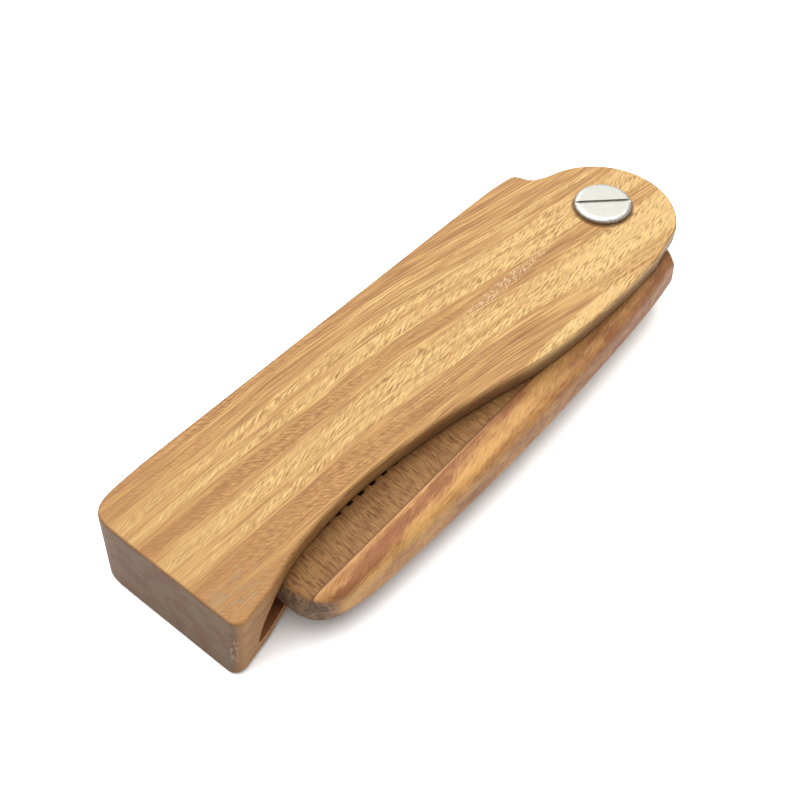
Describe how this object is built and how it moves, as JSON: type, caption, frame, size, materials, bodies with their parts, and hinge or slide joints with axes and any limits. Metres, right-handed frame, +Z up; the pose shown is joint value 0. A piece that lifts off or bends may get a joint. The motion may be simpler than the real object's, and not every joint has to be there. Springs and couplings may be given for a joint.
{
  "type": "folding wooden pocket comb",
  "caption": "Folding pocket comb: a slotted wooden handle holds a wooden comb that turns out about a slotted binding post.",
  "frame": {"origin": "bottom centre of the folded object's bounding box", "axes": "+X from the handle's flat base end to its round pivot end, +Y from the comb's spine to the handle's back edge, +Z up through the handle's thickness, along the pivot"},
  "size_m": [0.119, 0.039, 0.0172],
  "materials": {
    "handle_wood": "oiled golden wood with interlocked grain along its length",
    "spine_wood": "oiled red-brown wood, grain along its length",
    "teeth_wood": "oiled mid-brown wood, grain along the teeth",
    "nickel": "satin nickel plate"
  },
  "bodies": {
    "handle": {"handle": "handle_wood", "pivot_post": "nickel", "pivot_screw": "nickel"},
    "comb": {"comb_spine": "spine_wood", "comb_teeth": "teeth_wood"}
  },
  "joints": [
    {"name": "comb_hinge", "type": "hinge", "parent": "handle", "child": "comb", "pos_m": [0.0479, 0.0012, 0.0086], "axis": [0, 0, 1], "range_deg": [0, 180]}
  ]
}
